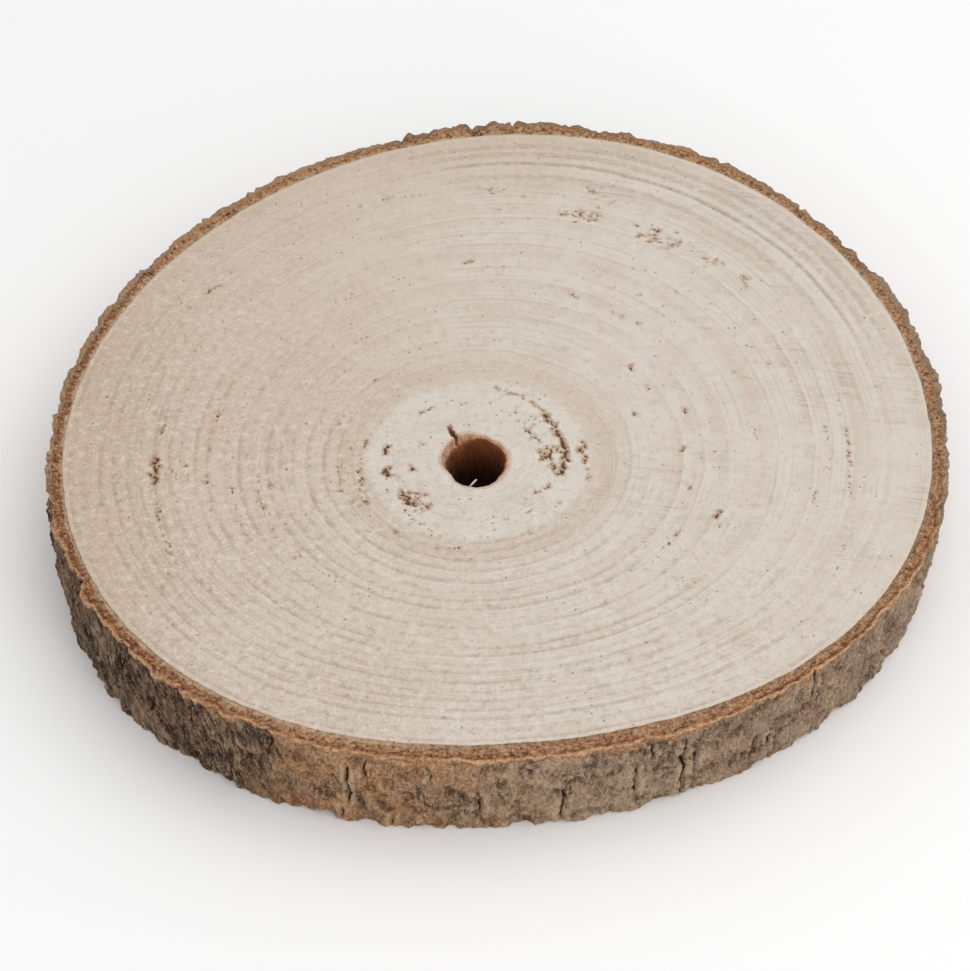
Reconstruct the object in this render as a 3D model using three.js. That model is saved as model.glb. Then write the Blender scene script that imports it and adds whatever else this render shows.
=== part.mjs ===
// Wood slice: one cross-cut of a light, fast-grown trunk with its bark still on, lying flat.
// It grew as one piece, so it is one solid: wood, bark and the hole along the pith together.
//
// Units are millimetres and +Z is up. The origin is the centre of the bounding box on the
// underside. Seen from above with +X to the right, the pith lies left of and below the middle.

import * as THREE from 'three';
import { mergeVertices } from 'three/addons/utils/BufferGeometryUtils.js';

// Driving dimensions.
const WOOD_RADIUS = 118;        // mean distance from the pith to the edge of the wood
const THICKNESS = 29;           // between the two saw cuts
const BARK = 4.8;               // mean thickness of the bark round the upper cut
const TAPER = 2.2;              // how far the wall draws in from the upper face to the underside
const HOLE_MOUTH = 10.2;        // mean radius of the hole at the upper face
const HOLE_BORE = 8.5;          // mean radius of the hole below its worn mouth
const HOLE_MOUTH_DEPTH = 1.8;   // depth of the worn mouth
const HOLE_FOOT = 9;            // mean radius of the hole at the underside
const HOLE_FOOT_DEPTH = 1.2;    // depth of the worn edge at the underside

// How finely the slice is divided round the pith.
const SEGMENTS = 192;

// Slow waves laid on a circle about the pith. Each is the number of bulges round the circle, its
// size, and its phase in degrees. The first wave carries the pith off the middle.
const OUTLINE_WAVES = [     // sizes are shares of the wood radius
  [1, 0.140, 67.6],
  [2, 0.022, 84],
  [3, 0.018, -104],
  [4, 0.007, -97],
];
const HOLE_WAVES = [        // sizes are shares of the hole's own radius
  [2, 0.09, 180],
  [3, 0.02, 40],
  [5, 0.015, 110],
];
const BARK_WAVES = [        // the bark is thicker at the front and the back; millimetres
  [2, 0.4, 180],
];
const TAPER_WAVES = [       // the wall leans most at the right and hardly at the left; millimetres
  [1, 1.2, 42],
  [2, 0.5, 264],
];

// Ridges and furrows of the bark, in millimetres. The last value is how far a ridge leans, in
// degrees of phase for each millimetre of height.
const BARK_RIDGES = [
  [17, 0.2, 10, 3],
  [29, 0.25, 75, -5],
  [47, 0.25, 200, 7],
];

// The section of the slice, walked up the bark, in over the upper face, down the hole and out
// over the underside. A bark row is a height and how far the wall is drawn in there.
const BARK_ROWS = [
  [0, 1.1],
  [1.4, 0.25],
  [6.5, 0],
  [11.5, 0],
  [16.5, 0],
  [21.5, 0],
  [25.6, 0.1],
  [27.6, 0.6],
  [28.6, 1.4],
  [THICKNESS, 2.7],
];
const HOLE_ROWS = [
  [THICKNESS, HOLE_MOUTH],
  [THICKNESS - HOLE_MOUTH_DEPTH, HOLE_BORE],
  [HOLE_FOOT_DEPTH, HOLE_BORE],
  [0, HOLE_FOOT],
];

function sumOfWaves(waves, angle) {
  let sum = 0;
  for (const [bulges, size, phase] of waves) {
    sum += size * Math.cos(bulges * angle - THREE.MathUtils.degToRad(phase));
  }
  return sum;
}

function ridgeHeight(angle, height) {
  let sum = 0;
  for (const [count, size, phase, lean] of BARK_RIDGES) {
    sum += size * Math.cos(count * angle - THREE.MathUtils.degToRad(phase + lean * height));
  }
  return sum;
}

// Distance from the pith to the outside of the bark.
function barkRadius(angle, height, drawnIn) {
  const wood = WOOD_RADIUS * (1 + sumOfWaves(OUTLINE_WAVES, angle));
  const bark = BARK + sumOfWaves(BARK_WAVES, angle);
  const taper = (TAPER + sumOfWaves(TAPER_WAVES, angle)) * (1 - height / THICKNESS);
  return wood + bark + ridgeHeight(angle, height) - taper - drawnIn;
}

function holeRadius(angle, meanRadius) {
  return meanRadius * (1 + sumOfWaves(HOLE_WAVES, angle));
}

// A lathe gives the closed ring of faces. Each of its vertices is then moved to its real
// distance from the pith.
function sliceGeometry() {
  const section = [];
  for (const [height, drawnIn] of BARK_ROWS) {
    section.push({ height, radiusAt: (angle) => barkRadius(angle, height, drawnIn) });
  }
  for (const [height, meanRadius] of HOLE_ROWS) {
    section.push({ height, radiusAt: (angle) => holeRadius(angle, meanRadius) });
  }
  const profile = section.map((row) => new THREE.Vector2(row.radiusAt(0), row.height));
  profile.push(profile[0].clone());

  const lathe = new THREE.LatheGeometry(profile, SEGMENTS);
  lathe.deleteAttribute('normal');
  lathe.deleteAttribute('uv');
  const position = lathe.getAttribute('position');
  for (let vertex = 0; vertex < position.count; vertex += 1) {
    const row = section[(vertex % profile.length) % section.length];
    const segment = Math.floor(vertex / profile.length) % SEGMENTS;
    const angle = (2 * Math.PI * segment) / SEGMENTS;
    const radius = row.radiusAt(angle);
    position.setXYZ(vertex, radius * Math.cos(angle), radius * Math.sin(angle), row.height);
  }

  const geometry = mergeVertices(lathe);
  geometry.computeBoundingBox();
  const middle = geometry.boundingBox.getCenter(new THREE.Vector3());
  geometry.translate(-middle.x, -middle.y, 0);
  geometry.computeVertexNormals();
  return geometry;
}

const woodMaterial = new THREE.MeshStandardMaterial({
  color: '#d9cfc3',
  roughness: 0.85,
  metalness: 0,
});

const slice = new THREE.Mesh(sliceGeometry(), woodMaterial);
slice.name = 'wood_slice';

const group = new THREE.Group();
group.add(slice);

export default group;
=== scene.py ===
"""The wood slice's visual model: one closed mesh for the whole slice, with materials for its
wood, its bark and the wall of the hole at its pith.

Lengths are in millimetres up to the mesh itself, which is in metres like the frame. Angles run
round the pith, anticlockwise from +X as seen from above, so -90 degrees is the near side.
"""

import math

import bmesh
import bpy
import numpy as np
from mathutils import Matrix, Vector


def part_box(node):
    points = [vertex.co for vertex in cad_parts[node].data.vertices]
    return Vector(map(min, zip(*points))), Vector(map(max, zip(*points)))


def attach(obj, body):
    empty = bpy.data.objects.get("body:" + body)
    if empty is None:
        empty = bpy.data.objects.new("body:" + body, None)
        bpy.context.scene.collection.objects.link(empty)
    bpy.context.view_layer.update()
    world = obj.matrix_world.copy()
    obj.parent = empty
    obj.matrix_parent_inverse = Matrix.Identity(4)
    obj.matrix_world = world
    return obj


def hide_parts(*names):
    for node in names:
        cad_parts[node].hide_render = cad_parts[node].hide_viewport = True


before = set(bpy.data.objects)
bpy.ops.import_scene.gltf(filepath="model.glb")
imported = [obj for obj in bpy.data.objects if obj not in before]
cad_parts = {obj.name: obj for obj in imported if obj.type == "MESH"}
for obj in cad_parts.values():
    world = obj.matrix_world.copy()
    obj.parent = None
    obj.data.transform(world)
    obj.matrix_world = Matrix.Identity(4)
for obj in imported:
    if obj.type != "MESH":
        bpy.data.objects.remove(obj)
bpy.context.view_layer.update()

MM = 0.001                      # one millimetre in metres

# ---- Sizes, in millimetres. The first group repeats the driving dimensions of the CAD part.

low_corner, high_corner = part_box("wood_slice")
THICKNESS = (high_corner[2] - low_corner[2]) / MM
WOOD_RADIUS = 118.0
BARK = 4.8
TAPER = 2.2
HOLE_BORE = 8.5
OUTLINE_WAVES = [(1, 0.140, 67.6), (2, 0.022, 84.0), (3, 0.018, -104.0), (4, 0.007, -97.0)]
HOLE_WAVES = [(2, 0.09, 180.0), (3, 0.02, 40.0), (5, 0.015, 110.0)]
BARK_WAVES = [(2, 0.4, 180.0)]
TAPER_WAVES = [(1, 1.2, 42.0), (2, 0.5, 264.0)]

EDGE_RADIUS = 122.0             # mean radius of the bark's edges, for noise along them
HOLE_RADIUS = 9.0               # mean radius of the hole, for noise round it
LOW_ARRIS = 0.7                 # height of the rounding along the lower edge
COLUMNS = 1200                  # vertices round the bark; the wood and the hole have fewer
WALL_ROWS = 38                  # rows of faces up the bark

SEED = 20


# ---- Noise on arrays of points

def scramble(x, y, z, seed):
    """A repeatable number from 0 to 1 for each whole-number lattice point."""
    h = (x.astype(np.uint32) * np.uint32(374761393)
         + y.astype(np.uint32) * np.uint32(668265263)
         + z.astype(np.uint32) * np.uint32(2246822519)
         + np.full(x.shape, (seed * 3266489917) & 0xFFFFFFFF, dtype=np.uint32))
    h = (h ^ (h >> np.uint32(15))) * np.uint32(2246822519)
    h = (h ^ (h >> np.uint32(13))) * np.uint32(3266489917)
    return ((h ^ (h >> np.uint32(16))) & np.uint32(0xFFFFFF)) / float(0xFFFFFF)


def smooth_noise(points, size, number):
    """Noise from -1 to 1 at points (n, 3), whose lumps have that size along X, Y and Z.

    Each number gives another noise."""
    place = points / np.broadcast_to(np.asarray(size, dtype=float), (3,)) + 31.7
    cell = np.floor(place).astype(np.int64)
    part = place - cell
    ease = part * part * part * (part * (part * 6 - 15) + 10)
    total = np.zeros(len(points))
    for corner in range(8):
        step = np.array([corner & 1, corner >> 1 & 1, corner >> 2 & 1])
        weight = np.where(step, ease, 1 - ease).prod(axis=1)
        at = cell + step
        total += weight * scramble(at[:, 0], at[:, 1], at[:, 2], SEED + number)
    return 2 * total - 1


def layered_noise(points, size, number, layers=3, fade=0.5):
    """Noise with finer and weaker layers on top, from about -1 to 1."""
    size = np.asarray(size, dtype=float)
    total, weight, strength = 0, 0, 1.0
    for layer in range(layers):
        total = total + strength * smooth_noise(points, size / 2 ** layer, number + 7 * layer)
        weight += strength
        strength *= fade
    return 1.6 * total / weight


def ridged_noise(points, size, number, layers=2):
    """Noise that rises to sharp crests, from about -1 to 1."""
    size = np.asarray(size, dtype=float)
    total, weight = 0, 0
    for layer in range(layers):
        crest = 1 - 3.2 * np.abs(smooth_noise(points, size / 2 ** layer, number + 11 * layer))
        total = total + crest / 2 ** layer
        weight += 1 / 2 ** layer
    return np.clip(total / weight, -1.5, 1.0)


def pushed(points, amount, size, number):
    """Points pushed about by noise, by up to about amount millimetres each way."""
    push = [smooth_noise(points, size, number + axis) for axis in range(3)]
    return points + amount * np.stack(push, axis=1)


def ease_between(low, high, value):
    """0 below low, 1 above high and smooth between them."""
    share = np.clip((value - low) / (high - low), 0, 1)
    return share * share * (3 - 2 * share)


def turn_between(angle, other):
    """The smallest turn in degrees between two directions, in degrees."""
    return np.abs((angle - other + 180) % 360 - 180)


# ---- Outlines

def sum_of_waves(waves, angle):
    total = 0
    for bulges, size, phase in waves:
        total = total + size * np.cos(bulges * angle - math.radians(phase))
    return total


def wood_radius(angle):
    return WOOD_RADIUS * (1 + sum_of_waves(OUTLINE_WAVES, angle))


def bark_thickness(angle):
    return BARK + sum_of_waves(BARK_WAVES, angle)


def taper(angle):
    return TAPER + sum_of_waves(TAPER_WAVES, angle)


def bore_radius(angle):
    return HOLE_BORE * (1 + sum_of_waves(HOLE_WAVES, angle))


def ring_radius(ring, angle):
    """Distance from the pith to growth ring number ring, from 0 at the pith to 1 at the bark.

    The young rings are round. Later ones take up the outline's shape."""
    share = ease_between(0.12, 0.95, ring) * 0.75 + 0.25 * ring
    return WOOD_RADIUS * ring * (1 + share * sum_of_waves(OUTLINE_WAVES, angle))


def pith_place():
    """Where the pith stands, so that the slice's outline is centred on the frame's origin."""
    angle = np.linspace(0, 2 * math.pi, 720, endpoint=False)
    radius = wood_radius(angle) + bark_thickness(angle)
    x, y = radius * np.cos(angle), radius * np.sin(angle)
    return np.array([-(x.min() + x.max()) / 2, -(y.min() + y.max()) / 2])


PITH = pith_place()


def round_pith(angle, radius, height=0.0):
    """Points (n, 3) in millimetres, relative to the pith."""
    height = np.broadcast_to(np.asarray(height, dtype=float), angle.shape)
    return np.stack([radius * np.cos(angle), radius * np.sin(angle), height], axis=1)


def polar(points):
    """Direction and distance of points from the pith."""
    return np.arctan2(points[:, 1], points[:, 0]), np.hypot(points[:, 0], points[:, 1])


def directions(count):
    return np.arange(count) * 2 * math.pi / count


def near_side(angle):
    """1 at the near side of the slice and 0 at its back and far side."""
    return 1 - ease_between(55, 105, turn_between(np.degrees(angle), -90))


# ---- Bark relief

# Cracks on the near side: direction in degrees, lowest and highest point, width and depth.
NEAR_CRACKS = [
    (194, 4, 20, 0.7, 1.2), (201, 14, 29, 0.8, 1.6), (207, 2, 17, 0.7, 1.3),
    (214, 12, 29, 1.0, 2.0), (221, 5, 22, 0.8, 1.5), (228, 17, 29, 0.9, 1.6),
    (234, 1, 12, 0.8, 1.2), (240.5, 13, 27, 0.7, 1.0), (250.5, 1, 6, 0.8, 1.2),
    (251.5, 7, 24, 0.8, 1.5), (254, 19, 26, 0.8, 1.3), (257.5, 0, 6, 0.8, 1.2),
    (263, 19, 24, 0.8, 1.3), (269.5, 6, 16, 1.2, 1.5), (272.5, 11, 17, 0.7, 0.9),
    (277, 20, 25, 0.8, 1.2), (281.5, 0, 13, 1.0, 1.8), (291.5, 8, 20, 0.9, 1.3),
    (294, 19, 26, 0.8, 1.2), (298.5, 0, 25, 1.1, 2.0), (300.5, 8, 18, 1.0, 1.2),
    (312, 4, 15, 0.9, 1.5), (318, 18, 29, 1.0, 1.6), (322, 6, 21, 0.9, 1.4),
    (333, 2, 14, 0.9, 1.4), (341, 10, 27, 1.0, 1.8), (349, 5, 24, 0.9, 1.5),
]
FAR_CRACKS = 46                 # placed by chance round the rest of the bark,
FAR_FIRST, FAR_LAST = -8, 192   # between these directions

# Pieces broken off the lower edge: direction, half width in degrees, height.
CHIPS = [(247.6, 1.6, 2.6), (262, 0.9, 0.9), (286, 0.8, 0.9), (297.6, 0.7, 1.2),
         (318, 1.2, 1.5), (324, 1.1, 2.0), (330, 0.8, 1.4), (205, 1.0, 1.0), (60, 1.5, 2.0),
         (118, 1.3, 1.6), (160, 1.2, 1.8), (25, 1.0, 1.5)]


def crack_list():
    """Every crack of the bark, near side and far side."""
    draw = np.random.default_rng(SEED)
    cracks = list(NEAR_CRACKS)
    for step in range(FAR_CRACKS):
        share = (step + draw.uniform(0.15, 0.85)) / FAR_CRACKS
        direction = FAR_FIRST + (FAR_LAST - FAR_FIRST) * share
        length = draw.uniform(5, 26)
        low = draw.uniform(-2, THICKNESS + 2 - length)
        if draw.random() < 0.45:
            low = THICKNESS + 1 - length
        width = draw.uniform(0.55, 1.1)
        cracks.append((direction, low, low + length, width, width * draw.uniform(1.1, 1.6)))
    return cracks


CRACKS = crack_list()


def crack_profile(angle, height):
    """How deep the cracks cut at each point, and how high their lips stand, from 0 to 1."""
    depth = np.zeros(len(angle))
    lip = np.zeros(len(angle))
    degrees = np.degrees(angle)
    reach = wood_radius(angle) + BARK
    for number, (direction, low, high, width, most) in enumerate(CRACKS):
        near = (turn_between(degrees, direction) < 5) & (height > low - 2) & (height < high + 2)
        if not near.any():
            continue
        z = height[near]
        line = np.stack([z * 0 + number * 9.1, z * 0, z], axis=1)
        wander = layered_noise(line, (1, 1, 8), 50, 4, 0.7)
        turn = (degrees[near] - direction + 180) % 360 - 180
        across = turn * np.pi / 180 * reach[near]
        offset = np.abs(across - wander)
        ends = ease_between(low - 1.5, low + 2, z) * (1 - ease_between(high - 2, high + 1.5, z))
        ragged = 0.5 + 0.5 * layered_noise(line, (1, 1, 2.6), 51, 3, 0.7)
        narrow = 0.46 * width * np.clip(ragged, 0.25, 1.2) * ends + 0.04
        cut = np.exp(-(offset / narrow) ** 2) * ends * np.clip(0.35 + ragged, 0, 1)
        depth[near] = np.maximum(depth[near], cut * most)
        rise = np.exp(-((offset - 1.6 * width) / width) ** 2) * ends
        lip[near] = np.maximum(lip[near], rise)
    return depth, lip


# Directions in degrees of the middle of each zone of the bark.
DARK_FIBROUS_BARK, BACK_DARK_FIBROUS_BARK, WARM_BARK, SCABBY_BARK = 211, 80, 253, 322
DARK_FIBROUS_SIDE = 214                # round which the fissures lean
LEAN = 0.6                      # how far they lean over for each millimetre downwards


def zones(angle, height):
    """How dark and fibrous, how warm and how scabby the bark is at each point, each from 0 to 1.
    """
    at = round_pith(angle, wood_radius(angle), height)
    degrees = np.degrees(angle) % 360
    drift = 14 * smooth_noise(at, (30, 30, 18), 60)
    ragged = 2.5 * layered_noise(at, 6, 64, 3, 0.7)
    mossy = 1 - ease_between(21, 32, turn_between(degrees, DARK_FIBROUS_BARK) + 0.45 * drift + ragged)
    back = ease_between(0.05, 0.5, smooth_noise(at, (55, 55, 80), 61))
    back = np.clip(back * (1 + 0.6 * ragged), 0, 1)
    mossy = np.maximum(mossy, back * (1 - ease_between(60, 95, turn_between(degrees, BACK_DARK_FIBROUS_BARK))))
    warm = 1 - ease_between(6, 20, turn_between(degrees, WARM_BARK) + drift * 0.5)
    warm = np.maximum(warm, ease_between(0.25, 0.6, smooth_noise(at, (26, 26, 12), 62)))
    scabby = 1 - ease_between(26, 46, turn_between(degrees, SCABBY_BARK) + drift)
    scabby = np.maximum(scabby, ease_between(0.2, 0.5, smooth_noise(at, (34, 34, 40), 63)))
    return mossy, warm * (1 - mossy), scabby * (1 - mossy)


def bark_relief(angle, height):
    """How far the bark stands out from its smooth outline, with the marks its colours need."""
    at = round_pith(angle, wood_radius(angle) + BARK, height)
    mossy, warm, scabby = zones(angle, height)
    slow = 0.6 * layered_noise(at, (42, 42, 70), 1, 2)
    slant = LEAN * (1 - ease_between(15, 70, turn_between(np.degrees(angle), DARK_FIBROUS_SIDE)))
    at = round_pith(angle - slant * (THICKNESS - height) / WOOD_RADIUS,
                    wood_radius(angle) + BARK, height)
    bend = pushed(at, 1.8, 4.5, 5)
    plates = smooth_noise(bend, (15, 15, 34), 2)
    ribs = (0.35 + 0.8 * mossy) * ridged_noise(bend, (8, 8, 24), 12)
    ribs = ribs - 0.75 * np.exp(-(plates / 0.07) ** 2)
    fibres = (0.2 + 0.45 * mossy) * layered_noise(bend, (2.6, 2.6, 11), 3, 3, 0.65)
    shred = mossy * 0.36 * ridged_noise(bend, (2.4, 2.4, 5.0), 4)
    rumple = 0.34 * ridged_noise(pushed(at, 2.6, 5, 13), (3.2, 3.2, 4.8), 8, 3)
    rumple = (1 - mossy) * rumple
    patch = ease_between(0.1, 0.45, smooth_noise(at, (9, 9, 7), 9))
    scabs = scabby * patch * 0.7 * layered_noise(bend, (2.4, 2.4, 2.0), 10, 2, 0.7)
    grain = 0.2 * layered_noise(at, (1.3, 1.3, 2.0), 11, 2)
    furrow = np.exp(-(smooth_noise(bend, (6.5, 6.5, 18), 16) / 0.1) ** 2)
    furrow = furrow * (0.06 + 0.94 * mossy)
    pits = scabby * ease_between(0.22, 0.5, smooth_noise(bend, (3.4, 3.4, 2.8), 17))
    crack, lip = crack_profile(angle, height)
    small = fibres + shred + rumple + scabs + grain
    calm = 1 - 0.55 * near_side(angle) * ease_between(THICKNESS - 5, THICKNESS - 1, height)
    relief = slow + ribs * (0.4 + 0.6 * calm) + (small + 0.65 * lip) * calm - crack
    relief = relief - (2.0 * furrow + 0.9 * pits) * calm
    scale = ease_between(-0.07, 0.07, smooth_noise(bend, (9, 9, 30), 18))
    relief = relief + (0.15 + 0.5 * (1 - near_side(angle))) * scale
    # Painted shade for the colours: strongest where the relief is low, in furrows and in pits.
    hollow = np.clip(0.5 - 0.75 * (small + 0.35 * ribs) + 0.6 * furrow + 0.65 * pits, 0, 1)
    marks = {"hollow": hollow, "crack": np.clip(crack / 0.8, 0, 1), "mossy": mossy,
             "warm": warm, "scabby": scabby * patch, "curl": np.clip(lip, 0, 1)}
    return relief, marks


def chip_height(angle):
    """How much of the lower edge is broken off, in height."""
    degrees = np.degrees(angle)
    at = round_pith(angle, EDGE_RADIUS)
    height = 0.6 * np.clip(layered_noise(at, 5, 20, 4, 0.7), 0, 1)
    for direction, half_width, most in CHIPS:
        edge = 1 - ease_between(0.72, 1.05, turn_between(degrees, direction) / half_width)
        height = np.maximum(height, most * edge * (0.8 + 0.2 * layered_noise(at, 2, 21)))
    return height


# Patches where the skin has come off below the upper edge: direction, half width in degrees and
# height.
FLAKES = [(261, 3.2, 3.6), (290, 3.4, 3.2), (297, 1.4, 4.2), (232, 2.5, 2.6), (318, 2.0, 3.0),
          (40, 3.0, 3.0), (128, 2.6, 2.8)]


# ---- The rows of vertices, walked up the bark, in over the upper face, down the hole and out over
# the underside

# What each vertex tells the materials: its growth ring, how far it lies on the lip of the hole,
# how deep under the skin, which part of the bark's thickness, the painted shade of the bark's
# hollows, cracks, lips of cracks and three zones, tears in the wood and the brown round them, and
# its place in the UV map.
MARKS = ("ring", "lip", "depth", "layer", "hollow", "crack", "curl", "mossy", "warm", "scabby",
         "tear", "stain", "walk")
WOOD, CORTEX, HOLE = range(3)   # material slots of the mesh
WOOD_MARKS = {"layer": 1.0, "depth": 9.0}   # inside the bark and deeper than any of it
# The walk mark runs from 0 at the wood over the upper edge and the foot to the wood underneath.
WALK_EDGE, WALK_FOOT, WALK_LENGTH = 6.0, 36.0, 42.0


class Rows:
    """Rows of vertices round the pith, and the faces between each row and the next."""

    def __init__(self):
        self.points, self.marks, self.counts, self.kinds = [], [], [], []

    def add(self, points, kind, **marks):
        """One more row. kind is the material of the faces between this row and the next."""
        self.points.append(points)
        self.counts.append(len(points))
        self.kinds.append(kind)
        filled = {}
        for name in MARKS:
            filled[name] = np.broadcast_to(marks.get(name, 0.0), (len(points),)).astype(float)
        self.marks.append(filled)

    def faces(self):
        starts = np.concatenate([[0], np.cumsum(self.counts)])
        faces, kinds = [], []
        for row, count in enumerate(self.counts):
            after = (row + 1) % len(self.counts)
            new = bridge(starts[row], count, starts[after], self.counts[after])
            faces += new
            kinds += [self.kinds[row]] * len(new)
        return faces, kinds


def bridge(a, a_count, b, b_count):
    """Faces between a row of a_count vertices from a on and one of b_count from b on."""
    faces = []
    if a_count == b_count:
        for i in range(a_count):
            j = (i + 1) % a_count
            faces.append((a + i, a + j, b + j, b + i))
    elif a_count == 2 * b_count:
        for i in range(b_count):
            j = (i + 1) % b_count
            middle = a + 2 * i + 1
            faces.append((a + 2 * i, middle, b + i))
            faces.append((middle, a + 2 * j, b + j))
            faces.append((middle, b + j, b + i))
    elif b_count == 2 * a_count:
        for i in range(a_count):
            j = (i + 1) % a_count
            middle = b + 2 * i + 1
            faces.append((a + i, middle, b + 2 * i))
            faces.append((a + j, b + 2 * j, middle))
            faces.append((a + i, a + j, middle))
    else:
        raise ValueError("rows that meet have the same count of vertices, or half or twice it")
    return faces


def skin_radius(angle, height):
    """The outside of the bark before its edges are worn, and its marks."""
    relief, marks = bark_relief(angle, height)
    smooth = wood_radius(angle) + bark_thickness(angle) - taper(angle) * (1 - height / THICKNESS)
    return smooth + relief, marks


def worn_edge(angle):
    """Width and height of the worn upper edge: narrow at the back, broad at the front."""
    at = round_pith(angle, EDGE_RADIUS)
    front = near_side(angle)
    chance = layered_noise(at, 9, 30, 3)
    width = 0.5 + 0.35 * front + 0.4 * front * chance
    height = 0.6 + 0.3 * front + 0.5 * front * np.clip(chance, -0.7, 1)
    fine = layered_noise(at, 2.5, 31, 2)
    return np.clip(width + 0.15 * fine, 0.25, 2.4), np.clip(height + 0.3 * fine, 0.35, 5)


def peeled(angle, height):
    """How deep the skin is peeled off below the worn edge, where it shows the layer under it."""
    degrees = np.degrees(angle)
    at = round_pith(angle, EDGE_RADIUS)
    front = near_side(angle)
    reach = 0.15 + front * (0.1 + 1.1 * layered_noise(at, 6, 36, 4, 0.65))
    for direction, half_width, drop in FLAKES:
        patch = 1 - ease_between(0.6, 1.1, turn_between(degrees, direction) / half_width)
        reach = np.maximum(reach, patch * (drop + layered_noise(at, 2.2, 37, 2)))
    _, worn = worn_edge(angle)
    below = THICKNESS - worn - height
    return 0.5 * (1 - ease_between(0.5, 1.2, below / np.clip(reach, 0.2, None)))


def wall_place(angle, height):
    """Points on the outside of the bark between its two worn edges, with their marks."""
    radius, marks = skin_radius(angle, height)
    depth = peeled(angle, height)
    radius = radius - 0.5 * depth
    marks = dict(marks, depth=depth, layer=0 * depth, walk=WALK_EDGE + THICKNESS - height)
    return round_pith(angle, radius, height), marks


def add_wall(rows):
    """The outside of the bark, from its lower edge to its worn upper edge."""
    angle = directions(COLUMNS)
    width, worn = worn_edge(angle)
    foot = chip_height(angle) + LOW_ARRIS
    top = THICKNESS - worn
    for row in range(WALL_ROWS + 1):
        points, marks = wall_place(angle, foot + (top - foot) * row / WALL_ROWS)
        rows.add(points, CORTEX, **marks)
    steps = 5
    bare = 0.5 * near_side(angle)
    for step in range(1, steps):
        share = step / steps
        height = top + worn * (1 - (1 - share) ** 1.5)
        radius, marks = skin_radius(angle, height)
        at = round_pith(angle, radius, height)
        bite = 0.25 * layered_noise(at, 1.6, 32, 2) * math.sin(math.pi * share)
        depth = np.clip(width * share ** 1.6 - bite, 0, None)
        rows.add(round_pith(angle, radius - depth, height), CORTEX, depth=np.maximum(depth, bare),
                 layer=depth / bark_thickness(angle), walk=WALK_EDGE + THICKNESS - height, **marks)


def cut_bark_height(angle, radius, layer):
    """How far the cut face of the bark lies below the cut face of the wood."""
    at = round_pith(angle, radius, 0.0)
    front = near_side(angle)
    crumbs = 0.16 * layered_noise(at, 1.1, 33, 2)
    inner = ease_between(0.42, 0.55, layer) * (1 - ease_between(0.93, 1.0, layer))
    split = np.exp(-((layer - 0.34) / 0.07) ** 2)
    opened = ease_between(-0.2, 0.5, smooth_noise(at, 14, 34))
    edge = np.exp(-((layer - 0.97) / 0.05) ** 2)
    drop = 0.12 + inner * (0.3 + 2 * crumbs) + (1 - inner) * 0.5 * np.abs(crumbs)
    drop = drop + split * opened * (0.35 + 0.3 * front) + 0.15 * edge
    drop = drop + 0.35 * front * (1 - layer)
    return drop * (1 - ease_between(0.985, 1.0, layer))


def add_upper_bark(rows):
    """The cut face of the bark, from its worn edge in to the wood."""
    angle = directions(COLUMNS)
    width, _ = worn_edge(angle)
    thickness = bark_thickness(angle)
    outer, marks = skin_radius(angle, THICKNESS + 0 * angle)
    wander = 0.22 * layered_noise(round_pith(angle, WOOD_RADIUS), 6, 35, 4)
    inner = wood_radius(angle) + wander
    start = np.clip(width / (outer - inner), 0.02, 0.4)
    bare = 0.5 - 1.9 * (1 - near_side(angle))
    for share in (0.0, 0.12, 0.22, 0.3, 0.38, 0.5, 0.64, 0.78, 0.9, 0.96):
        layer = start + (1 - start) * share
        radius = outer + (inner - outer) * layer
        height = THICKNESS - cut_bark_height(angle, radius, layer)
        marks = dict(marks, crack=marks["crack"] * (1 - layer))
        rows.add(round_pith(angle, radius, height), CORTEX, depth=bare + layer * thickness,
                 layer=layer, walk=WALK_EDGE * (1 - layer), **marks)
    return inner


def wood_levels(steps_by_count):
    """(vertex count, ring) of each row of wood, from the bark in."""
    levels = []
    for count, outer, inner, steps in steps_by_count:
        for step in range(steps):
            levels.append((count, outer + (inner - outer) * step / steps))
    return levels


EDGE_STRIP = 0.35                # the row that keeps the wood flat right up to its edge
UPPER_WOOD = [(600, 0.975, 0.9, 3), (300, 0.9, 0.4, 20), (150, 0.4, 0.128, 14)]
LOWER_WOOD = [(600, 0.965, 0.9, 2), (300, 0.9, 0.4, 5), (150, 0.4, 0.128, 5)]


def add_wood_face(rows, steps_by_count, height, edge, outwards):
    """The flat wood of one cut face, between the bark and the hole."""
    angle = directions(COLUMNS)
    levels = [(angle, edge, 1.0), (angle, edge - EDGE_STRIP, 1 - EDGE_STRIP / WOOD_RADIUS)]
    for count, ring in wood_levels(steps_by_count):
        at = directions(count)
        levels.append((at, ring_radius(ring, at), ring))
    if outwards:
        levels.reverse()
    for at, radius, ring in levels:
        rows.add(round_pith(at, radius, height), WOOD, ring=ring, **WOOD_MARKS)


def lip_shape(angle):
    """Width and drop of the worn lip of the hole at the upper face: broad at the left."""
    at = round_pith(angle, HOLE_RADIUS)
    left = 1 - ease_between(36, 70, turn_between(np.degrees(angle), 150))
    chance = layered_noise(at, 4, 40)
    width = 0.6 + 1.25 * left + 0.3 * np.cos(angle) + 0.15 * chance
    return width, 0.8 + 2.9 * left + 0.2 * chance


def hole_wall(angle, height):
    """Radius of the hole at some height: ribbed along the grain and slightly crooked."""
    at = round_pith(angle, HOLE_RADIUS, height)
    ribs = 0.25 * layered_noise(at, (2.2, 2.2, 16), 41, 3)
    rough = 0.12 * layered_noise(at, (1.2, 1.2, 2.4), 42, 2)
    return bore_radius(angle) + ribs + rough


HOLE_COLUMNS = 150
STAIN_WIDTH = 1.5               # of the stained ring on the wood round the hole, in millimetres


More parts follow.
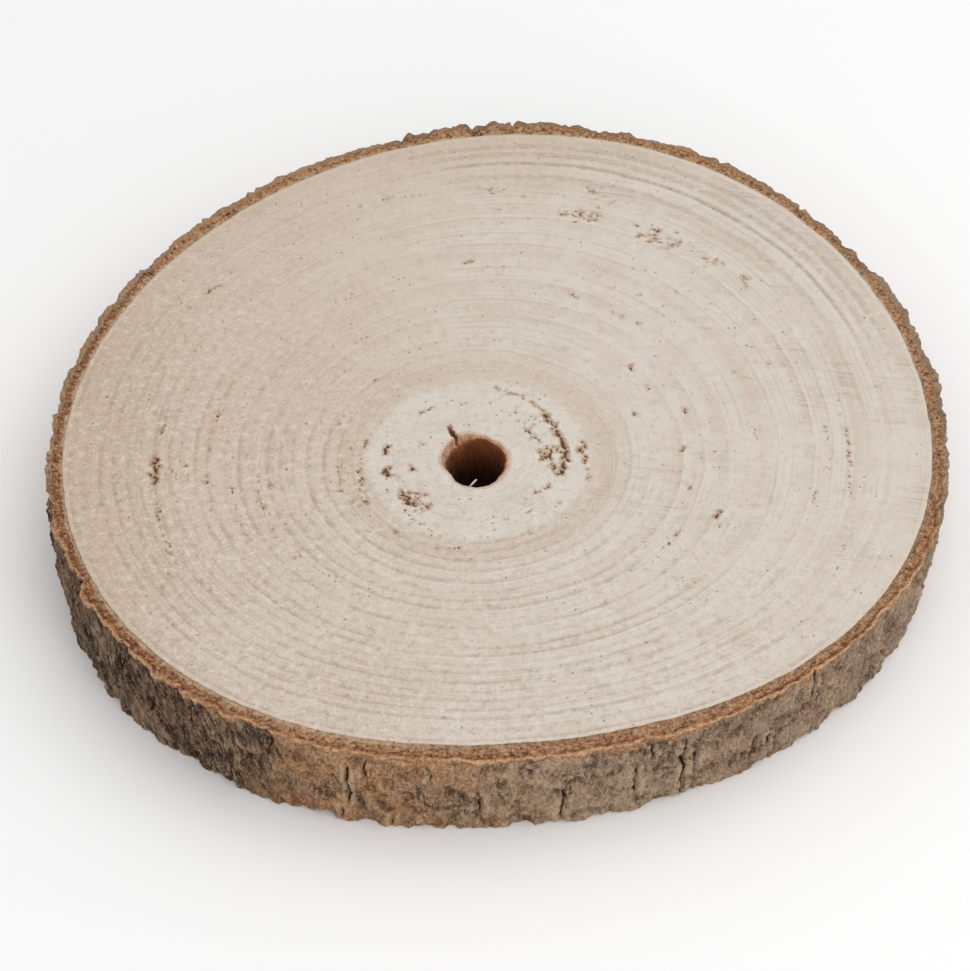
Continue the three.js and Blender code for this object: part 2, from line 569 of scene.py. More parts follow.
def add_hole(rows):
    """The stained ring round the hole, its worn lip, its wall and its foot."""
    angle = directions(HOLE_COLUMNS)
    width, drop = lip_shape(angle)
    mouth = hole_wall(angle, THICKNESS) + width
    around = round_pith(angle, HOLE_RADIUS)
    stain = STAIN_WIDTH * (1 + 0.4 * layered_noise(around, 4, 46))
    for share, lip in ((1.0, 0.0), (0.45, 0.5), (0.0, 1.0)):
        radius = mouth + stain * share
        rows.add(round_pith(angle, radius, THICKNESS), WOOD, ring=radius / WOOD_RADIUS, lip=lip,
                 **WOOD_MARKS)
    rows.kinds[-1] = HOLE
    for share in (0.82, 0.6, 0.4, 0.2, 0.0):
        height = THICKNESS - drop * (1 - share) ** 1.3
        radius = hole_wall(angle, height) + width * share
        rows.add(round_pith(angle, radius, height), HOLE, ring=0.08, lip=share, **WOOD_MARKS)
    steps = 18
    foot = 0.5
    for step in range(1, steps + 1):
        height = (THICKNESS - drop) + (foot - THICKNESS + drop) * step / steps
        rows.add(round_pith(angle, hole_wall(angle, height), height), HOLE, ring=0.075,
                 **WOOD_MARKS)
    radius = hole_wall(angle, 0.0) + 0.5
    rows.add(round_pith(angle, radius), WOOD, ring=radius / WOOD_RADIUS, **WOOD_MARKS)


def add_lower_bark(rows, inner):
    """The cut face of the bark underneath, out to the foot of the wall."""
    angle = directions(COLUMNS)
    chip = chip_height(angle)
    thickness = bark_thickness(angle)
    outer, marks = skin_radius(angle, 0 * angle)
    for layer in (0.96, 0.7, 0.45, 0.2, 0.05):
        radius = outer + (inner - outer) * layer
        at = round_pith(angle, radius, 0.0)
        crumbs = 0.12 * (1 + np.clip(layered_noise(at, 1.1, 44, 2), -1, 1))
        edge = layer + 0.12 * smooth_noise(at, 2, 45)
        height = chip * (1 - ease_between(0.35, 0.8, edge)) + crumbs * (1 - layer)
        rows.add(round_pith(angle, radius, height), CORTEX,
                 depth=0.5 + layer * thickness, layer=layer, walk=WALK_FOOT + WALK_EDGE * layer,
                 **dict(marks, crack=marks["crack"] * (1 - layer)))


def slice_rows():
    rows = Rows()
    add_wall(rows)
    inner = add_upper_bark(rows)
    add_wood_face(rows, UPPER_WOOD, THICKNESS, inner, outwards=False)
    add_hole(rows)
    lower_inner = inner - taper(directions(COLUMNS))
    add_wood_face(rows, LOWER_WOOD, 0.0, lower_inner, outwards=True)
    rows.kinds[-1] = CORTEX
    add_lower_bark(rows, lower_inner)
    return rows


def row_mesh():
    """The slice before its tears, splinter and fibres."""
    rows = slice_rows()
    faces, kinds = rows.faces()
    points = np.concatenate(rows.points)
    mesh = bpy.data.meshes.new("wood_slice_visual")
    mesh.from_pydata(points.tolist(), [], faces)
    mesh.polygons.foreach_set("material_index", kinds)
    for name in MARKS:
        values = np.concatenate([marks[name] for marks in rows.marks]).astype(np.float32)
        mesh.attributes.new(name, "FLOAT", "POINT").data.foreach_set("value", values)
    mesh.update()
    return mesh


# ---- Tears of the wood's upper face, where the saw pulled fibres out

# Runs of tears along the rings: distance from the pith at the run's start and end, direction in
# degrees at its start and end, number of tears, size in millimetres and how brown they are.
TEAR_RUNS = [
    (28.5, 26.5, 80, 45, 13, 0.42, 0.8), (26.0, 24.4, 42, 26, 8, 0.9, 1.0),
    (25.0, 24.0, 26, -6, 15, 0.95, 1.0), (24.0, 23.0, -6, -14, 5, 0.8, 1.0),
    (18.0, 19.0, 40, 20, 8, 0.5, 0.8), (19.5, 21.0, 18, -10, 10, 0.62, 0.9),
    (29.0, 29.6, 13, -3, 7, 0.85, 0.9), (29.8, 31.5, -4, -16, 5, 0.35, 0.6),
    (21.5, 22.5, 60, 44, 5, 0.5, 0.4), (31.0, 31.5, 163, 180, 8, 0.5, 0.6),
    (31.5, 33.0, 183, 208, 14, 0.55, 0.6), (24.0, 24.3, 184, 192, 7, 0.9, 1.0),
    (24.6, 25.2, 164, 172, 5, 0.8, 0.9), (23.0, 23.8, 208, 224, 9, 0.85, 1.0),
    (20.5, 21.5, 214, 232, 6, 0.6, 0.7), (15.8, 16.2, 154, 160, 4, 0.5, 0.6),
    (24.0, 24.2, 120, 128, 4, 0.6, 0.7), (22.0, 22.4, 96, 100, 2, 0.5, 0.6),
    (17.0, 18.0, 186, 190, 3, 0.7, 0.8), (17.5, 18.0, 0, 6, 3, 0.5, 0.5),
    (34.0, 34.3, 228, 235, 4, 0.5, 0.6), (32.5, 32.8, 256, 262, 4, 0.55, 0.5),
    (26.5, 28.0, 222, 244, 7, 0.5, 0.6), (23.0, 23.2, 288, 291, 2, 0.6, 0.6),
    (23.4, 23.7, 304, 309, 4, 0.5, 0.6), (20.0, 22.0, 322, 336, 5, 0.6, 0.7),
    (27.5, 28.0, 318, 326, 3, 0.5, 0.5), (37.0, 38.0, 176, 200, 7, 0.4, 0.5),
    (56.0, 56.2, 38, 39.5, 3, 0.6, 0.8), (47.0, 47.2, 20, 22, 2, 0.6, 0.7),
    (55.5, 55.7, 29, 31, 2, 0.5, 0.7), (60.0, 60.3, 16, 18.5, 3, 0.7, 0.7),
    (56.5, 56.7, 2, 4, 2, 0.6, 0.7), (58.6, 58.8, -12, -10, 2, 0.6, 0.7),
    (68.0, 68.2, -19.5, -16.8, 4, 0.65, 1.0), (60.0, 60.2, -29, -27, 2, 0.6, 0.6),
    (77.0, 77.3, 4, 8, 4, 0.5, 0.5), (92.0, 92.5, -12, -8, 4, 0.5, 0.6),
    (101.0, 102.0, -9, 6, 13, 0.62, 0.6), (96.0, 96.5, -4, 8, 6, 0.4, 0.5),
    (110.0, 111.0, 96, 104, 9, 0.42, 0.4), (80.0, 80.2, 90, 92, 3, 0.5, 0.8),
    (87.0, 87.6, 164, 204, 20, 0.36, 0.5), (72.8, 73.4, 160, 202, 12, 0.34, 0.5),
    (66.5, 67.0, 176, 206, 14, 0.38, 0.5), (59.4, 60.0, 182, 208, 10, 0.36, 0.5),
    (70.6, 70.8, 65, 67, 3, 0.6, 0.6), (87.0, 87.3, 168.5, 172, 5, 0.55, 0.7),
    (87.0, 87.3, 177.5, 184, 14, 1.0, 0.9), (87.2, 87.4, 190.5, 193, 4, 0.6, 0.7),
    (87.6, 87.8, 198.5, 201, 3, 0.6, 0.6), (73.0, 73.2, 183, 185.5, 3, 0.55, 0.6),
    (73.0, 73.2, 164, 166.5, 3, 0.5, 0.6), (66.7, 66.9, 187, 189.5, 3, 0.55, 0.7),
    (59.6, 59.8, 193, 195.5, 3, 0.5, 0.6), (102.6, 102.9, 135, 138, 4, 0.5, 0.7),
    (97.0, 97.4, 176, 196, 8, 0.38, 0.5), (81.0, 81.5, 172, 190, 7, 0.36, 0.5),
]
# Patches of tears: distance from the pith, direction in degrees, spread across and along the
# rings in millimetres, number, size and how brown they are.
TEAR_PATCHES = [
    (104.4, 71.6, 1.3, 3.6, 24, 0.46, 0.75), (104.6, 58.0, 1.7, 4.4, 30, 0.46, 0.8),
    (104.4, 48.6, 1.0, 1.8, 9, 0.42, 0.8), (104.8, 42.0, 0.9, 1.6, 7, 0.42, 0.8),
    (112.0, 68.0, 1.2, 3.0, 7, 0.36, 0.5), (111.2, 88.0, 1.2, 3.0, 9, 0.4, 0.6),
    (115.7, 72.2, 0.8, 1.6, 6, 0.4, 0.6), (23.4, 215.0, 1.3, 2.6, 14, 0.55, 1.0),
    (21.0, 222.0, 1.6, 2.6, 9, 0.45, 0.7), (20.6, 3.0, 1.3, 2.2, 10, 0.5, 1.0),
    (36.0, 196.0, 2.6, 8.0, 18, 0.38, 0.5), (21.0, 50.0, 1.6, 3.6, 9, 0.38, 0.5),
    (93.0, 20.0, 1.4, 2.0, 6, 0.36, 0.5), (70.0, 52.0, 1.4, 3.0, 7, 0.36, 0.5),
    (88.0, 181.0, 3.5, 5.0, 8, 0.36, 0.5), (96.0, 222.0, 1.2, 2.4, 5, 0.36, 0.4),
]
TEAR_ZONE = 3.6                 # how far below the upper face tears reach
MIDDLE_OF_HOLE = 4.0            # radius in which nothing is torn
STRAY_TEARS = 150               # placed by chance over the whole face
# The crack at the hole: distance from the pith, direction, turn of its length from that
# direction, half length, half width, depth and how brown it is.
NOTCH = (12.5, 119.5, -7.2, 3.4, 0.75, 1.7, 1.9)


def tear_list():
    """Each tear: its middle, its length's direction, half length, half width, depth, brownness."""
    draw = np.random.default_rng(SEED + 1)
    tears = []
    for start, end, first, last, count, size, brown in TEAR_RUNS:
        for step in range(count):
            share = (step + draw.uniform(0.1, 0.9)) / count
            direction = math.radians(first + (last - first) * share)
            radius = start + (end - start) * share + draw.normal(0, 0.55 * size)
            tears.append(one_tear(draw, radius, direction, size, brown))
    for radius, direction, across, along, count, size, brown in TEAR_PATCHES:
        for _ in range(count):
            out = radius + draw.normal(0, across)
            turn = math.radians(direction) + draw.normal(0, along) / radius
            tears.append(one_tear(draw, out, turn, size, brown))
    for _ in range(STRAY_TEARS):
        direction = draw.uniform(0, 2 * math.pi)
        radius = wood_radius(direction) * math.sqrt(draw.uniform(0.04, 0.95))
        size = draw.uniform(0.26, 0.5)
        tears.append(one_tear(draw, radius, direction, size, draw.uniform(0.2, 0.6)))
    radius, direction, turn, *shape = NOTCH
    middle = place_of(radius, math.radians(direction))
    tears.append((middle, math.radians(direction + turn), *shape))
    return tears


def place_of(radius, direction):
    return (radius * math.cos(direction), radius * math.sin(direction))


def one_tear(draw, radius, direction, size, brown):
    middle = place_of(radius, direction)
    along = direction + math.pi / 2 + draw.normal(0, 0.3)
    size *= draw.uniform(0.55, 1.35)
    half_length = size * draw.uniform(0.6, 1.3)
    half_width = size * draw.uniform(0.36, 0.62)
    depth = size * draw.uniform(0.5, 0.95)
    return (middle, along, half_length, half_width, depth, brown)


def tear_reach(points, tear):
    """How far points lie from a tear's middle, where 1 is its edge, and their distance in mm."""
    (x, y), along, half_length, half_width = tear[:4]
    dx, dy = points[:, 0] - x, points[:, 1] - y
    u = dx * math.cos(along) + dy * math.sin(along)
    v = dy * math.cos(along) - dx * math.sin(along)
    out = np.hypot(u / half_length, v / half_width)
    gap = np.hypot(np.clip(np.abs(u) - half_length, 0, None),
                   np.clip(np.abs(v) - half_width, 0, None))
    return out, gap


def top_points(points):
    """Numbers of the points that tears can reach: those near the upper face."""
    return np.nonzero(points[:, 2] > THICKNESS - TEAR_ZONE)[0]


def close_to(points, top, tear, box):
    """Those of the points numbered in top that lie within box of a tear's middle."""
    x, y = tear[0]
    return top[(np.abs(points[top, 0] - x) < box) & (np.abs(points[top, 1] - y) < box)]


def near_tears(points, tears, margin):
    """Which points lie near a tear."""
    near = np.zeros(len(points), dtype=bool)
    top = top_points(points)
    top = top[polar(points[top])[1] > MIDDLE_OF_HOLE]
    for tear in tears:
        close = close_to(points, top, tear, 2.0 + tear[2] + margin)
        _, gap = tear_reach(points[close], tear)
        near[close[gap < margin]] = True
    return near


def near_cracks(points, margin):
    """Which points of the bark's outside lie near one of its cracks."""
    angle, radius = polar(points)
    z = points[:, 2]
    near = np.zeros(len(points), dtype=bool)
    for direction, low, high, width, _ in CRACKS:
        across = np.radians(turn_between(np.degrees(angle), direction)) * radius
        near |= (across < margin + width) & (z > low - margin) & (z < high + margin)
    return near


def coordinates(bm):
    return np.array([vertex.co[:] for vertex in bm.verts])


def refine(bm, kinds, is_near, margins, longest):
    """Divides the long edges of faces of those kinds near a feature, closer and closer to it."""
    for margin in margins:
        near = is_near(coordinates(bm), margin)
        bm.edges.index_update()
        bm.edges.ensure_lookup_table()
        picked = set()
        for face in bm.faces:
            if face.material_index in kinds and any(near[v.index] for v in face.verts):
                picked.update(edge.index for edge in face.edges if edge.calc_length() > longest)
        edges = [bm.edges[index] for index in sorted(picked)]
        bmesh.ops.subdivide_edges(bm, edges=edges, cuts=1, use_grid_fill=True)
        bm.verts.index_update()


def press_tears(bm, tears):
    """Pushes the wood down into its tears and marks their colour."""
    points = coordinates(bm)
    drop = np.zeros(len(points))
    dark = np.zeros(len(points))
    stain = np.zeros(len(points))
    ragged = 0.3 * layered_noise(points, 0.8, 70, 3, 0.6)
    top = top_points(points)
    for tear in tears:
        close = close_to(points, top, tear, 3.0 + 2 * tear[2])
        out, gap = tear_reach(points[close], tear)
        out = out + ragged[close]
        pit = 1 - ease_between(0.45, 1.15, out)
        drop[close] = np.maximum(drop[close], pit * tear[4])
        dark[close] = np.maximum(dark[close], pit * (0.4 + 0.6 * tear[5]))
        halo = (1 - ease_between(0, 1.3 / max(tear[5], 1) ** 3, gap + ragged[close])) * tear[5]
        stain[close] = np.maximum(stain[close], halo)
    drop[polar(points)[1] < MIDDLE_OF_HOLE] = 0
    tear_layer, stain_layer = bm.verts.layers.float["tear"], bm.verts.layers.float["stain"]
    for vertex in bm.verts:
        i = vertex.index
        vertex.co.z -= drop[i]
        vertex[tear_layer] = dark[i]
        vertex[stain_layer] = stain[i]


# ---- Bark cracks at full detail, the splinter in the hole and loose fibres of the bark

def recut_bark(bm, first_new):
    """Puts the vertices that refining made on the bark's outside at their true places."""
    new = [vertex for vertex in bm.verts if vertex.index >= first_new
           and all(face.material_index == CORTEX for face in vertex.link_faces)]
    points = np.array([vertex.co[:] for vertex in new])
    angle, radius = polar(points)
    foot = chip_height(angle) + LOW_ARRIS
    _, worn = worn_edge(angle)
    inside = (points[:, 2] > foot) & (points[:, 2] < THICKNESS - worn)
    inside &= radius > wood_radius(angle) - taper(angle) + 1.5
    places, marks = wall_place(angle, points[:, 2])
    layers = {name: bm.verts.layers.float[name] for name in marks}
    for i, vertex in enumerate(new):
        if inside[i]:
            vertex.co = places[i]
            for name, layer in layers.items():
                vertex[layer] = marks[name][i]


def draw_out(bm, fibres, sizes, kind=None):
    """Pulls faces out into thin fibres. Each fibre is a face, its tip and how far it is bowed."""
    steps = len(sizes)
    starts = [face.calc_center_median() for face, _, _ in fibres]
    faces = [face for face, _, _ in fibres]
    for step, size in enumerate(sizes):
        share = (step + 1) / steps
        made = bmesh.ops.extrude_discrete_faces(bm, faces=faces)["faces"]
        by_place = {tuple(face.calc_center_median()): face for face in made}
        olds = [(starts[i] if step == 0 else middles[i]) for i in range(len(fibres))]
        faces = [by_place[tuple(old)] for old in olds]
        for face, old, start, (_, tip, bend) in zip(faces, olds, starts, fibres):
            centre = start.lerp(tip, share) + bend * (4 * share * (1 - share))
            for vertex in face.verts:
                vertex.co = centre + (vertex.co - old) * size
            if kind is not None:
                for edge in face.edges:
                    for side in edge.link_faces:
                        side.material_index = kind
        middles = [face.calc_center_median() for face in faces]


SPLINTER = (-101.0, 2.9)        # direction of its foot, and length
SPLINTER_LEAN = (0.80, 0.42, 0.72)      # the way it points


def add_splinter(bm):
    """The pale splinter that stands up from the near lip of the hole."""
    direction, length = math.radians(SPLINTER[0]), SPLINTER[1]
    radius = bore_radius(np.array([direction]))[0] + 0.2
    foot = Vector((radius * math.cos(direction), radius * math.sin(direction), THICKNESS - 0.9))
    face = min((f for f in bm.faces if f.material_index == HOLE and len(f.verts) == 4),
               key=lambda f: (f.calc_center_median() - foot).length)
    start = face.calc_center_median()
    tip = start + Vector(SPLINTER_LEAN).normalized() * length
    draw_out(bm, [(face, tip, Vector((0.1, 0, 0.1)))], (1.3, 1.2, 1.05, 0.7), kind=WOOD)


HAIRS = 60                      # loose fibres of the bark


def add_hairs(bm):
    """Loose fibres, mostly on the fibrous bark at the left."""
    draw = np.random.default_rng(SEED + 2)
    bm.faces.index_update()
    walk, mossy = bm.verts.layers.float["walk"], bm.verts.layers.float["mossy"]
    wall = [face for face in bm.faces if face.material_index == CORTEX and len(face.verts) == 4
            and all(8 < vertex[walk] < 34 for vertex in face.verts)]
    hairy = [face for face in wall if face.verts[0][mossy] > 0.4]
    chosen = set()
    for count, faces in ((HAIRS, hairy), (HAIRS // 3, wall)):
        for pick in draw.choice(len(faces), count, replace=False):
            taken = any(other in chosen for edge in faces[pick].edges for other in edge.link_faces)
            if not taken:
                chosen.add(faces[pick])
    fibres = []
    for face in sorted(chosen, key=lambda f: f.index):
        start = face.calc_center_median()
        out = Vector((start.x, start.y, 0)).normalized()
        side = Vector((-out.y, out.x, 0))
        lean = out * draw.uniform(0.25, 0.6) + side * draw.normal(0, 0.5)
        lean.z = draw.normal(0, 0.7)
        length = draw.uniform(0.8, 2.6)
        bend = out * draw.uniform(0.0, 0.3) + side * draw.normal(0, 0.15)
        tip = start + lean.normalized() * length
        fibres.append((face, tip, bend))
    draw_out(bm, fibres, (0.42, 0.8, 0.7, 0.4))


def divide_many_sided(bm):
    """Divides each face of more than four sides from its middle."""
    many_sided = [face for face in bm.faces if len(face.verts) > 4]
    middles = bmesh.ops.poke(bm, faces=many_sided)["verts"]
    layers = [bm.verts.layers.float[name] for name in MARKS]
    for middle in middles:
        around = [edge.other_vert(middle) for edge in middle.link_edges]
        for layer in layers:
            middle[layer] = sum(vertex[layer] for vertex in around) / len(around)


def make_slice_mesh():
    mesh = row_mesh()
    tears = tear_list()
    bm = bmesh.new()
    bm.from_mesh(mesh)
    first_new = len(bm.verts)
    refine(bm, (CORTEX,), near_cracks, (0.9, 0.5), 0.42)
    recut_bark(bm, first_new)
    refine(bm, (WOOD, HOLE), lambda points, margin: near_tears(points, tears, margin),
           (2.2, 1.2, 0.6), 0.3)
    press_tears(bm, tears)
    add_splinter(bm)
    add_hairs(bm)
    divide_many_sided(bm)
    for face in bm.faces:
        face.smooth = True
    bmesh.ops.translate(bm, verts=bm.verts, vec=(PITH[0], PITH[1], 0))
    bmesh.ops.scale(bm, verts=bm.verts, vec=(MM, MM, MM))
    bm.to_mesh(mesh)
    bm.free()
    lay_out(mesh)
    return mesh


# ---- The UV map of the slice

STRIPS = 3                      # the bark's outside is laid out in this many strips


def read(items, name, width=1, dtype=float):
    """One property of many items as an array, with width numbers for each item."""
    values = np.empty(len(items) * width, dtype=dtype)
    items.foreach_get(name, values)
    return values.reshape(-1, width) if width > 1 else values


def lay_out(mesh):
    """One UV map for the slice: the upper face large, the rest round it."""
    vertex_of = read(mesh.loops, "vertex_index", dtype=np.int32)
    points = read(mesh.vertices, "co", 3)
    sides = read(mesh.polygons, "loop_total", dtype=np.int32)
    kind = read(mesh.polygons, "material_index", dtype=np.int32)
    middles = read(mesh.polygons, "center", 3)
    walk = read(mesh.attributes["walk"].data, "value", dtype=np.float32)
    face_of = np.repeat(np.arange(len(sides)), sides)

    at, middle, kind = points[vertex_of], middles[face_of], kind[face_of]
    wide = 2 * np.abs(points[:, :2]).max()
    disc = at[:, :2] / wide + 0.5
    pith = PITH * MM
    turn = np.arctan2(at[:, 1] - pith[1], at[:, 0] - pith[0]) / (2 * math.pi)
    face_turn = np.arctan2(middle[:, 1] - pith[1], middle[:, 0] - pith[0]) / (2 * math.pi) % 1
    turn = face_turn + (turn - face_turn + 0.5) % 1 - 0.5
    strip = np.floor(face_turn * STRIPS)
    along = turn * STRIPS - strip
    over = np.clip(walk[vertex_of] / WALK_LENGTH, 0, 1)

    uv = np.empty((len(vertex_of), 2))
    upper = (kind == WOOD) & (middle[:, 2] > THICKNESS * MM / 2)
    lower = (kind == WOOD) & ~upper
    bark = kind == CORTEX
    hole = kind == HOLE
    uv[upper] = np.array([0.005, 0.34]) + 0.65 * disc[upper]
    uv[lower] = np.array([0.67, 0.67]) + 0.32 * disc[lower]
    uv[bark, 0] = 0.01 + 0.97 * along[bark]
    uv[bark, 1] = 0.005 + 0.11 * strip[bark] + 0.1 * over[bark]
    uv[hole, 0] = 0.68 + 0.3 * turn[hole]
    uv[hole, 1] = 0.36 + 0.28 * np.clip(at[hole, 2] / (THICKNESS * MM), 0, 1)
    layer = mesh.uv_layers.new(name="OFBake")
    layer.data.foreach_set("uv", uv.ravel())


# ---- Materials

def srgb(code):
    """The linear colour that nodes use, from display values written as six hex digits."""
    def linear(value):
        return value / 12.92 if value <= 0.04045 else ((value + 0.055) / 1.055) ** 2.4
    return tuple(linear(int(code[i:i + 2], 16) / 255) for i in (0, 2, 4)) + (1.0,)


class Graph:
    """A material's nodes, with short calls for the few kinds used here."""

    def __init__(self, name):
        self.material = bpy.data.materials.new(name)
        self.material.use_nodes = True
        self.tree = self.material.node_tree
        self.tree.nodes.clear()
        self.place = self.add("TexCoord").outputs["Object"]

    def add(self, kind, sockets=(), **settings):
        """A node, with a value, a colour's hex digits or another node's output per socket."""
        node = self.tree.nodes.new("ShaderNode" + kind)
        for name, value in settings.items():
            setattr(node, name, value)
        for key, value in dict(sockets).items():
            if isinstance(value, bpy.types.NodeSocket):
                self.tree.links.new(value, node.inputs[key])
            else:
                node.inputs[key].default_value = srgb(value) if isinstance(value, str) else value
        return node

    def mark(self, name):
        return self.add("Attribute", attribute_name=name).outputs["Fac"]

    def math(self, kind, *values):
        """A sum on two values, or on more of them one after the other."""
        total = values[0]
        for value in values[1:]:
            total = self.add("Math", {0: total, 1: value}, operation=kind).outputs[0]
        return total

    def all(self, *values):
        """The product of several values."""
        return self.math("MULTIPLY", *values)

    def plus(self, *values):
        return self.math("ADD", *values)

    def swing(self, noise, size):
        """Noise from 0 to 1, turned into noise from minus to plus half of size."""
        return self.all(self.math("SUBTRACT", noise, 0.5), size)

    def noise(self, size, detail=2, roughness=0.5, place=None, stretch=(1, 1, 1), turn=0):
        """Noise from 0 to 1 with lumps of about size millimetres, longer along a stretch."""
        place = place or self.place
        if stretch != (1, 1, 1) or turn:
            turned = self.add("Mapping", {"Vector": place, "Rotation": (0, 0, turn)}).outputs[0]
            scale = tuple(1 / value for value in stretch)
            place = self.add("Mapping", {"Vector": turned, "Scale": scale}).outputs[0]
        return self.add("TexNoise", {"Vector": place, "Scale": 1 / (size * MM), "Detail": detail,
                                     "Roughness": roughness}).outputs["Fac"]

    def wave(self, value, scale, detail=0):
        """Noise from 0 to 1 along a line."""
        return self.add("TexNoise", {"W": value, "Scale": scale, "Detail": detail},
                        noise_dimensions="1D").outputs["Fac"]

    def step(self, value, low, high, start=0, end=1):
        """A smooth step from start to end as value goes from low to high."""
        return self.add("MapRange", {"Value": value, "From Min": low, "From Max": high,
                                     "To Min": start, "To Max": end},
                        interpolation_type="SMOOTHSTEP").outputs["Result"]

    def towards(self, degrees):
        """Distance in metres from the pith in one direction, seen from above."""
        x, y = math.cos(math.radians(degrees)), math.sin(math.radians(degrees))
        along = self.vector("DOT_PRODUCT", self.place, (x, y, 0), "Value")
        return self.math("SUBTRACT", along, (PITH[0] * x + PITH[1] * y) * MM)

    def side(self, degrees, low, high, start=0, end=1):
        """A smooth step as the distance in one direction goes from low to high millimetres."""
        return self.step(self.towards(degrees), low * MM, high * MM, start, end)

    def vector(self, kind, a, b, output=0):
        return self.add("VectorMath", {0: a, 1: b}, operation=kind).outputs[output]

    def warped(self, size, amount):
        """The place, pushed about by noise with lumps of size mm, by up to about amount mm."""
        node = self.add("TexNoise", {"Vector": self.place, "Scale": 1 / (size * MM), "Detail": 1})
        push = self.vector("SUBTRACT", node.outputs["Color"], (0.5, 0.5, 0.5))
        return self.vector("ADD", self.place,
                           self.vector("MULTIPLY", push, (4 * amount * MM,) * 3))

    def dots(self, size, radius, share):
        """Small round dots: size is their spacing in mm, share is how many there are."""
        node = self.add("TexVoronoi", {"Vector": self.place, "Scale": 1 / (size * MM)})
        pick = self.add("SeparateColor", {0: node.outputs["Color"]}).outputs[0]
        dot = self.step(node.outputs["Distance"], radius * 1.5, radius * 0.6)
        return self.all(dot, self.step(pick, 1 - share, 1.05 - share))

    def blend(self, share, a, b):
        return self.add("Mix", {0: share, 6: a, 7: b}, data_type="RGBA").outputs[2]

    def coats(self, colour, *coats):
        """A colour with coats over it. Each coat is how much of it shows, and its tone."""
        for share, tone in coats:
            colour = self.blend(share, colour, tone)
        return colour

    def finish(self, colour, roughness, height, bump_mm):
        """The shader, with a bump of height times bump_mm."""
        bump = self.add("Bump", {"Height": height, "Distance": bump_mm * MM, "Strength": 1})
        shader = self.add("BsdfPrincipled", {"Base Color": colour, "Roughness": roughness,
                                             "Normal": bump.outputs[0],
                                             "Specular IOR Level": 0.3})
        self.add("OutputMaterial", {"Surface": shader.outputs[0]})
        return self.material


